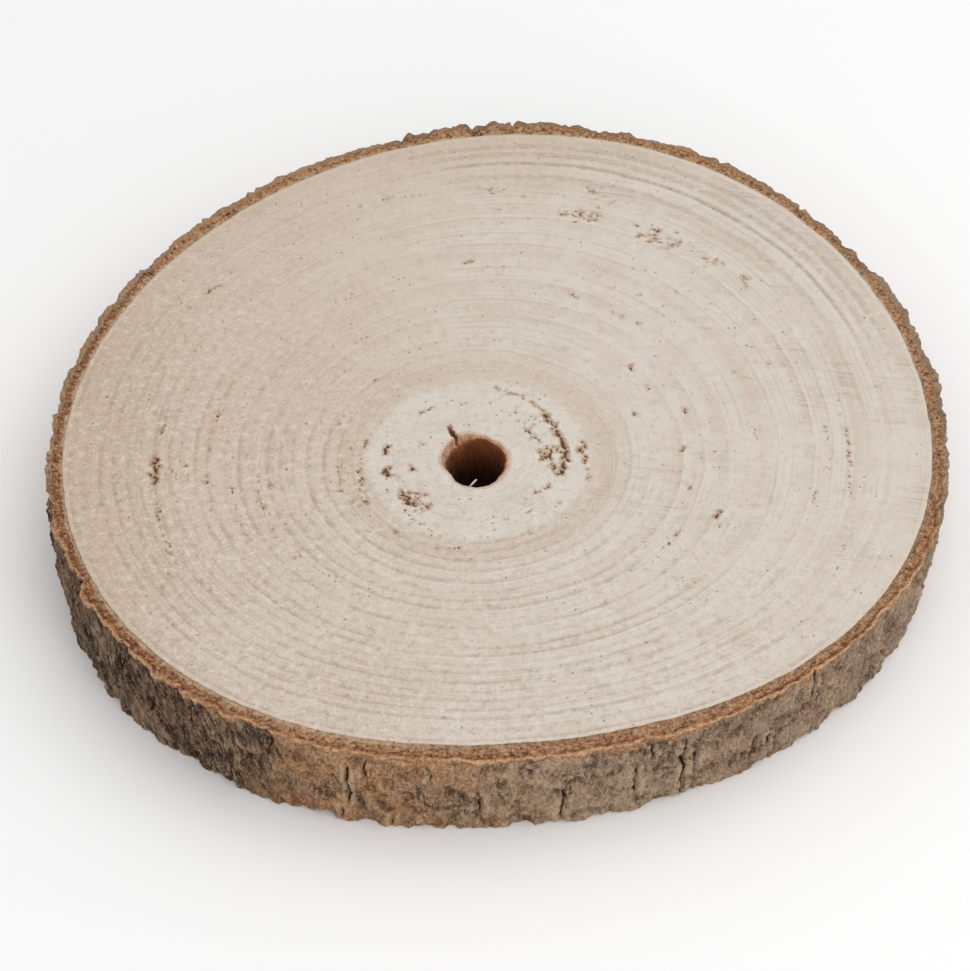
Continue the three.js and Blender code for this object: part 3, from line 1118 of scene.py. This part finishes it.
def wood_material():
    g = Graph("wood")
    ring, stain = g.mark("ring"), g.mark("stain")
    wobble = g.swing(g.noise(20, 3), 0.016)
    age = g.plus(ring, wobble)
    near_left = g.side(235, -40, 50)
    right = g.side(0, -10, 50)
    fuzz = g.noise(0.85, 4, 0.75)
    tuft = g.noise(2.2, 3, 0.65)
    rough = g.all(g.side(55, -40, 80, 1, 0.55), g.side(200, -10, 80, 1, 1.4))

    # Ring bands: each grows darker outwards and ends sharply.
    years = g.all(age, 14)
    years = g.plus(years, g.all(g.wave(years, 0.55), 1.6))
    year = g.math("FRACT", years, 0)
    late = g.all(g.step(year, 0.2, 0.93), g.step(year, 1, 0.955),
                 g.step(g.wave(years, 0.9), 0.3, 0.65, 0.3),
                 g.step(g.noise(30), 0.38, 0.62, 0.35), g.step(right, 0, 1, 0.6, 0.95),
                 g.side(-65, 20, 70, 1, 0.65))

    # Thin dark lines, closest and clearest on the near side.
    lines = g.plus(g.all(age, 29), g.all(g.wave(age, 13), 0.8))
    line = g.math("FRACT", lines, 0)
    thin = g.all(g.step(line, 0.4, 0.85), g.step(line, 1, 0.88),
                 g.step(g.wave(lines, 0.8), 0.3, 0.6, 0.35), g.step(near_left, 0, 1, 0.22),
                 g.step(g.noise(15, 3, 0.6), 0.36, 0.56, 0.3), g.step(tuft, 0.3, 0.6, 0.55, 1.1))
    finest = g.all(g.step(g.wave(g.all(age, 120), 1, 2), 0.45, 0.66),
                   g.step(g.noise(20), 0.4, 0.6, 0.25))
    edge_lines = g.all(g.step(g.wave(g.all(age, 40), 1, 1), 0.5, 0.66), g.step(ring, 0.85, 0.88),
                       g.step(ring, 0.975, 0.955), g.side(58, 88, 108),
                       g.step(tuft, 0.3, 0.55, 0.4))

    # Ground colour: tan at the left and the back, creamier at the right and round the pith.
    across = g.plus(g.towards(-10), g.swing(g.noise(50), 0.16))
    halo = g.step(g.plus(ring, g.all(wobble, 2)), 0.285, 0.235)
    pink = g.all(g.step(age, 0.25, 0.275), g.step(age, 0.37, 0.30))
    quiet = g.step(halo, 0, 1, 1, 0.45)
    colour = g.coats(
        g.blend(g.step(across, -0.11, 0.05), "d0bead", "dad0c5"),
        (g.all(g.side(95, 100, 128), 0.5), "cebca9"),
        (g.all(g.side(180, 70, 108), 0.5), "c2ac97"),
        (g.all(halo, 0.75), "dbd4c9"),
        (g.all(pink, 0.55), "d0bdab"),
        (g.all(g.step(g.noise(9, 3, 0.6), 0.42, 0.68), 0.2), "c4af9d"),
        (g.all(late, 0.32), "bea78e"),
        (g.all(thin, quiet, 0.47), "aa927c"),
        (g.all(finest, quiet, 0.2), "a88f79"),
        (g.all(edge_lines, 0.55), "a48f7c"))

    # Saw marks: long faint scratches, darker where they cross the hard outer part of a ring.
    scratch = g.noise(0.5, 2, 0.6, stretch=(40, 1, 40), turn=math.radians(10.5))
    scratch = g.all(g.step(scratch, 0.55, 0.68), g.step(g.noise(24), 0.44, 0.6),
                    g.step(right, 0, 1, 0.2), g.step(late, 0.1, 0.8, 0.3))
    colour = g.blend(g.all(scratch, 0.55), colour, "a48465")

    # Fuzz: torn fibre ends, light and dark.
    for value, dark_share, light_share in ((fuzz, 0.32, 0.42), (tuft, 0.28, 0.26)):
        colour = g.coats(
            colour,
            (g.all(g.step(value, 0.52, 0.71, 0, dark_share), rough), "a6917f"),
            (g.all(g.step(value, 0.48, 0.29, 0, light_share), rough), "ece5da"))

    # Specks: open pores, grey and brown, in drifts along the rings.
    drift = g.all(g.step(g.wave(g.all(age, 40), 1), 0.4, 0.6),
                  g.step(g.noise(13, 3, 0.55), 0.42, 0.58))
    around = g.all(g.step(ring, 0.4, 0.3), g.step(g.noise(5), 0.4, 0.6))
    specks = g.all(g.dots(1.5, 0.2, 0.22), g.math("MAXIMUM", drift, around))
    pores = g.all(g.dots(2.4, 0.15, 0.04), g.step(g.noise(18), 0.42, 0.58))

    # A trace of the growing layer at the very edge, the stained ring at the hole, and tears.
    lip = g.plus(g.mark("lip"), g.swing(tuft, 0.6))
    brown = g.plus(stain, g.swing(tuft, 2))
    fibre = g.all(stain, g.step(fuzz, 0.46, 0.34))
    torn = g.plus(g.mark("tear"), g.swing(fuzz, 0.8))
    colour = g.coats(
        colour,
        (g.all(specks, 0.7), "8c7a6c"),
        (g.all(pores, 0.65), "785f4a"),
        (g.step(ring, 0.985, 1, 0, 0.2), "ceb494"),
        (g.step(lip, 0.1, 0.75, 0, 0.8), "caa892"),
        (g.step(brown, 0.25, 1.1, 0, 0.7), "a67c52"),
        (g.all(fibre, 0.5), "ece2d0"),
        (g.step(torn, 0.22, 0.75, 0, 0.92),
         g.blend(g.step(stain, 1.1, 1.5), "684228", "7a321c")))

    height = g.plus(g.all(fuzz, 0.7), g.all(late, -0.2), g.all(scratch, -0.3),
                    g.all(specks, -0.6), g.all(tuft, 0.6), g.all(thin, -0.35))
    return g.finish(colour, g.step(fuzz, 0.2, 0.8, 0.72, 0.9), height, 0.28)


def bark_material():
    g = Graph("bark")
    depth, layer, mossy, warm, scabby, hollow, crack = map(g.mark, (
        "depth", "layer", "mossy", "warm", "scabby", "hollow", "crack"))
    mottle = g.noise(3.2, 4, 0.6)
    grit = g.noise(0.8, 4, 0.75)
    swirl = g.warped(5, 0.9)
    strands = g.noise(0.8, 3, 0.65, place=swirl, stretch=(1, 1, 3))
    lumps = g.noise(2.1, 4, 0.7, place=swirl, stretch=(1, 1, 2.2))
    shade = g.noise(9, 3, 0.6, stretch=(1, 1, 1.5))
    dark_fibrous_way = math.radians(DARK_FIBROUS_SIDE)
    leaning = g.add("VectorRotate", {"Vector": g.warped(9, 0.7), "Angle": -math.atan(LEAN),
                                     "Axis": (math.cos(dark_fibrous_way), math.sin(dark_fibrous_way), 0)})
    ropes = g.noise(1.6, 3, 0.6, place=leaning.outputs[0], stretch=(1, 1, 8))
    threads = g.noise(0.6, 3, 0.6, place=leaning.outputs[0], stretch=(1, 1, 9))

    # The skin: brown at the left, greyer tan at the right, dark in the dark fibrous zone, partly
    # as painted shade.
    grey = g.side(-25, 15, 80)
    plain = g.step(grey, 0, 1, 1, 0.35)
    plain_bark = g.step(mossy, 0, 1, 1, 0.4)
    fissured = g.plus(g.all(lumps, 0.25), g.all(ropes, 0.75))
    hollow_shade_share = g.math("MINIMUM", g.plus(g.all(scabby, 0.35), g.step(mossy, 0, 1, 0.4, 0.8)), 1)
    curl = g.all(g.mark("curl"), g.step(mottle, 0.35, 0.5), g.step(mossy, 1, 0))
    opened = g.plus(crack, g.swing(grit, 1.2))
    skin = g.coats(
        g.blend(g.step(g.noise(11, 3, 0.55), 0.4, 0.6),
                g.blend(grey, "c8986c", "bda48a"),
                g.blend(grey, "b47f54", "a88f76")),
        (g.step(mottle, 0.42, 0.62, 0, 0.7),
         g.blend(grey, "b28258", "aa937b")),
        (g.all(warm, plain, g.step(g.noise(5, 3, 0.6), 0.3, 0.6, 0.2, 0.7)), "b68256"),
        (g.all(scabby, 0.5), "907460"),
        (g.all(g.side(-25, 85, 110), g.step(g.noise(14), 0.3, 0.6), 0.5), "8a6c58"),
        # Dark fibrous zone: darker bark with near-black painted shade in its fissures. At the
        # left, turned from the light, it is darkened further as painted shade.
        (g.all(mossy, 0.95),
         g.blend(g.step(fissured, 0.4, 0.6), "261810", "8a6b53")),
        (g.all(mossy, g.step(g.noise(6, 3, 0.6), 0.55, 0.66), 0.15), "625c36"),
        (g.all(g.step(g.noise(4.5, 3, 0.6), 0.56, 0.7), plain, g.step(mossy, 0, 1, 0.4, 0.25)),
         "ae7448"),
        (g.step(shade, 0.5, 0.34, 0, 0.35), "64422a"),
        (g.step(shade, 0.52, 0.66, 0, 0.35), "cab090"),
        # Painted shade in the bark's hollows, strongest where scabby or dark fibrous.
        (g.all(g.step(hollow, 0.55, 1), hollow_shade_share), "3e2415"),
        (g.all(g.step(lumps, 0.46, 0.32, 0, 0.35), plain_bark), "583721"),
        (g.all(g.step(lumps, 0.54, 0.68, 0, 0.5), plain_bark), "ceb494"),
        (g.all(g.step(strands, 0.47, 0.34, 0, 0.6), plain_bark), "50321e"),
        (g.all(g.step(strands, 0.53, 0.68, 0, 0.6), plain_bark), "d8be9c"),
        # Painted shade: near black between the ropes and threads of the dark fibrous zone.
        (g.all(mossy, g.step(ropes, 0.46, 0.37), 0.6), "1c120c"),
        (g.all(mossy, g.step(threads, 0.47, 0.37), 0.6), "22160f"),
        (g.all(mossy, g.step(threads, 0.54, 0.64), 0.65), "bea488"),
        (g.step(curl, 0.2, 0.8, 0, 0.5), "d8bd9d"),
        (g.all(g.step(layer, 0.01, 0.05), g.side(90, 0, 50), 0.5), "ac8e74"),
        (g.all(g.step(grit, 0.53, 0.66, 0, 0.65), plain_bark), "dac0a2"),
        (g.all(g.step(grit, 0.46, 0.33, 0, 0.7), g.step(mossy, 0, 1, 1, 0.6)),
         "442a19"),
        # Painted shade inside the cracks, darkest where they cut deepest.
        (g.step(opened, 0.45, 0.95, 0, 0.95), "342016"))

    # Under the skin: brown cortex with a painted highlight along the arris, then crumbling inner
    # bark that pales towards the wood. part is 0 at the skin and 1 at the wood.
    patchy = g.noise(6.5, 3, 0.6)
    crumb = g.noise(1, 4, 0.7)
    part = g.plus(layer, g.swing(mottle, 0.25), g.swing(patchy, 0.3))
    inner_left = g.all(g.step(part, 0.28, 0.42), g.step(part, 0.85, 0.68), g.side(190, 60, 100))
    inmost = g.all(g.step(part, 0.62, 0.8), g.side(-45, 30, 90))
    dark_crumbs = g.all(g.step(crumb, 0.49, 0.37), g.step(part, 0.1, 0.3, 0.4, 0.9),
                        g.step(part, 0.7, 0.9, 1, 0.6))
    # Painted shade: a dark line in the split between the outer and inner bark.
    groove = g.step(g.math("ABSOLUTE", g.math("SUBTRACT", part, 0.34), 0), 0.075, 0.015)
    groove = g.all(groove, g.step(g.noise(6, 3, 0.6), 0.43, 0.56, 0, 0.65),
                   g.side(-90, -40, 60, 0.3))
    under = g.coats(
        g.blend(g.step(patchy, 0.4, 0.6), "b28662", "a8744c"),
        # Painted highlight along the arris.
        (g.step(part, 0, 0.06), "e0b288"),
        (g.step(part, 0.06, 0.22), "be875a"),
        (g.step(part, 0.3, 0.5), "b8845a"),
        (g.step(part, 0.5, 0.72), "c49873"),
        (g.step(part, 0.76, 0.92), "dec09f"),
        (g.all(inner_left, 0.65), "8c522c"),
        (g.all(inmost, 0.75), "a07656"),
        (g.step(g.noise(1.6, 3, 0.65), 0.5, 0.64, 0, 0.5), "96623c"),
        (g.step(crumb, 0.52, 0.62, 0, 0.6), "ecc49c"),
        (dark_crumbs, "5c361e"),
        # Painted shade of the cracks where they cross the cut face of the bark.
        (g.step(crack, 0.3, 0.85, 0, 0.85), "54321c"),
        (groove, "62341b"))
    rough_depth = g.plus(depth, g.swing(grit, 0.5), g.swing(mottle, 0.6))
    colour = g.blend(g.step(rough_depth, 0.2, 0.36), skin, under)

    height = g.plus(g.all(grit, 0.9), strands, g.all(mossy, ropes, 1.6), g.all(crumb, 0.4),
                    g.all(lumps, 1.2), g.all(groove, -0.6))
    return g.finish(colour, g.step(grit, 0.3, 0.7, 0.75, 0.95), height, 0.85)


def hole_material():
    g = Graph("hole_wall")
    strands = g.noise(0.8, 3, 0.6, stretch=(1, 1, 8))
    up = g.add("SeparateXYZ", {0: g.place}).outputs["Z"]
    flare = g.plus(g.mark("lip"), g.swing(g.noise(1.2, 3, 0.6), 0.6))
    colour = g.coats(
        # Painted shade: the wall is near black deep in the hole and brown only in its top 3 to 15
        # mm.
        g.blend(g.step(strands, 0.35, 0.65), "2c140b", "482616"),
        (g.step(up, (THICKNESS - 15) * MM, (THICKNESS - 3) * MM),
         g.blend(g.step(strands, 0.3, 0.7), "723c1c", "8a5028")),
        (g.step(g.noise(2.2, 3, 0.6), 0.5, 0.68, 0, 0.5), "4a2818"),
        (g.step(flare, 0.15, 0.5),
         g.blend(g.step(strands, 0.35, 0.65), "a87a5e", "c8a286")),
        (g.step(g.mark("tear"), 0.2, 0.7, 0, 0.95), "803a20"))
    return g.finish(colour, 0.85, strands, 0.35)


# ---- Scene

CAMERA_PITCH = math.radians(46)         # below the horizon
CAMERA_ROLL = math.radians(1.1)
CAMERA_DISTANCE = WOOD_RADIUS / 0.12    # from the pith at the upper face
SENSOR_MM = 36.0
LONG_SIDE_PX = 971
PX_PER_RADIUS = 434.2                   # how large the slice stands in the picture
PITH_OFFSET_PX = (-9.0, 24.5)           # where the pith stands, right of and above the middle


def add_camera():
    data = bpy.data.cameras.new("camera")
    focal_px = PX_PER_RADIUS / WOOD_RADIUS * CAMERA_DISTANCE
    data.sensor_width = SENSOR_MM
    data.lens = focal_px * SENSOR_MM / LONG_SIDE_PX
    data.clip_end = 20
    ahead = Vector((0, math.cos(CAMERA_PITCH), -math.sin(CAMERA_PITCH)))
    level_right = Vector((1, 0, 0))
    level_up = level_right.cross(ahead)
    right = level_right * math.cos(CAMERA_ROLL) - level_up * math.sin(CAMERA_ROLL)
    up = level_right * math.sin(CAMERA_ROLL) + level_up * math.cos(CAMERA_ROLL)
    mm_per_px = WOOD_RADIUS / PX_PER_RADIUS
    pith = Vector((PITH[0], PITH[1], THICKNESS))
    place = pith - ahead * CAMERA_DISTANCE
    place -= right * PITH_OFFSET_PX[0] * mm_per_px + up * PITH_OFFSET_PX[1] * mm_per_px
    camera = bpy.data.objects.new("camera", data)
    turn = Matrix((right, up, -ahead)).transposed().to_4x4()
    camera.matrix_world = Matrix.Translation(place * MM) @ turn
    bpy.context.scene.collection.objects.link(camera)
    bpy.context.scene.camera = camera


def add_light(name, place, size, power):
    """A square soft light that faces the slice. Its place and size are in metres."""
    data = bpy.data.lights.new(name, "AREA")
    data.size = size
    data.energy = power
    light = bpy.data.objects.new(name, data)
    light.location = place
    light.rotation_euler = (-Vector(place)).to_track_quat("-Z", "Y").to_euler()
    bpy.context.scene.collection.objects.link(light)


def add_studio():
    world = bpy.data.worlds.new("studio")
    world.use_nodes = True
    world.node_tree.nodes["Background"].inputs["Color"].default_value = (1, 1, 1, 1)
    world.node_tree.nodes["Background"].inputs["Strength"].default_value = 0.68
    bpy.context.scene.world = world
    add_light("key", (0.6, 0.2, 1.2), 1.5, 6)
    add_light("front", (0.3, -1.1, 0.8), 1.2, 4.5)

    g = Graph("floor")
    floor_material = g.finish("fcfcfc", 0.9, g.noise(2, 1), 0)
    mesh = bpy.data.meshes.new("floor")
    half = 3.0
    mesh.from_pydata([(-half, -half, 0), (half, -half, 0), (half, half, 0), (-half, half, 0)],
                     [], [(0, 1, 2, 3)])
    mesh.materials.append(floor_material)
    floor = bpy.data.objects.new("floor", mesh)
    bpy.context.scene.collection.objects.link(floor)
    bpy.context.scene.view_settings.view_transform = "Standard"


def main():
    add_camera()
    mesh = make_slice_mesh()
    for material in (wood_material(), bark_material(), hole_material()):
        mesh.materials.append(material)
    piece = bpy.data.objects.new("wood_slice_visual", mesh)
    bpy.context.scene.collection.objects.link(piece)
    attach(piece, "root")
    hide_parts("wood_slice")
    add_studio()


main()
